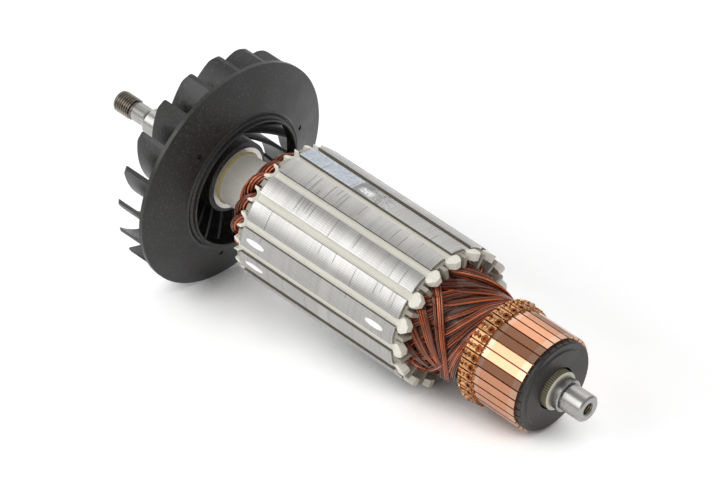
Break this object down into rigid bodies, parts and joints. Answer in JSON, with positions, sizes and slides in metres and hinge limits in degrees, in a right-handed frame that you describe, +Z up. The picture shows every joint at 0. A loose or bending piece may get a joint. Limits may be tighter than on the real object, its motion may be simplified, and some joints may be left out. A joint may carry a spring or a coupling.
{
  "type": "motor rotor",
  "caption": "Wound rotor of a brushed motor: shaft with bearing seats and threaded end, laminated core with coils, commutator and radial cooling fan.",
  "frame": {"origin": "on the rotor's axis, at the inner end of the commutator-end bearing seat", "axes": "+X along the axis from the commutator end to the drive end, +Z up, +Y to the left of +X seen from above"},
  "size_m": [0.2216, 0.086, 0.086],
  "materials": {
    "shaft_steel": "ground and turned, bright",
    "olive_tube": "satin",
    "dark_moulding": "satin",
    "core_steel": "stacked sheet edges, satin",
    "slot_film": "smooth",
    "grey_insulator": "satin",
    "enamelled_wire": "enamelled copper wire under varnish",
    "pale_sleeve": "satin",
    "bush_metal": "turned",
    "fan_plastic": "fine moulded grain",
    "copper": "turned copper, brush track polished",
    "cream_wedge": "smooth"
  },
  "bodies": {
    "root": {"shaft": "shaft_steel", "commutator_tube": "olive_tube", "commutator_moulding": "dark_moulding", "lamination_stack": "core_steel", "slot_liners": "slot_film", "end_insulator_commutator_side": "grey_insulator", "end_insulator_fan_side": "grey_insulator", "armature_winding": "enamelled_wire", "shaft_sleeve": "pale_sleeve", "fan_hub_bush": "bush_metal", "cooling_fan": "fan_plastic", "commutator_bar_01": "copper", "commutator_bar_02": "copper", "commutator_bar_03": "copper", "commutator_bar_04": "copper", "commutator_bar_05": "copper", "commutator_bar_06": "copper", "commutator_bar_07": "copper", "commutator_bar_08": "copper", "commutator_bar_09": "copper", "commutator_bar_10": "copper", "commutator_bar_11": "copper", "commutator_bar_12": "copper", "commutator_bar_13": "copper", "commutator_bar_14": "copper", "commutator_bar_15": "copper", "commutator_bar_16": "copper", "commutator_bar_17": "copper", "commutator_bar_18": "copper", "commutator_bar_19": "copper", "commutator_bar_20": "copper", "commutator_bar_21": "copper", "commutator_bar_22": "copper", "commutator_bar_23": "copper", "commutator_bar_24": "copper", "commutator_bar_25": "copper", "commutator_bar_26": "copper", "commutator_bar_27": "copper", "commutator_bar_28": "copper", "commutator_bar_29": "copper", "commutator_bar_30": "copper", "commutator_bar_31": "copper", "commutator_bar_32": "copper", "slot_wedge_01": "cream_wedge", "slot_wedge_02": "cream_wedge", "slot_wedge_03": "cream_wedge", "slot_wedge_04": "cream_wedge", "slot_wedge_05": "cream_wedge", "slot_wedge_06": "cream_wedge", "slot_wedge_07": "cream_wedge", "slot_wedge_08": "cream_wedge", "slot_wedge_09": "cream_wedge", "slot_wedge_10": "cream_wedge", "slot_wedge_11": "cream_wedge", "slot_wedge_12": "cream_wedge", "slot_wedge_13": "cream_wedge", "slot_wedge_14": "cream_wedge", "slot_wedge_15": "cream_wedge", "slot_wedge_16": "cream_wedge"}
  },
  "joints": []
}
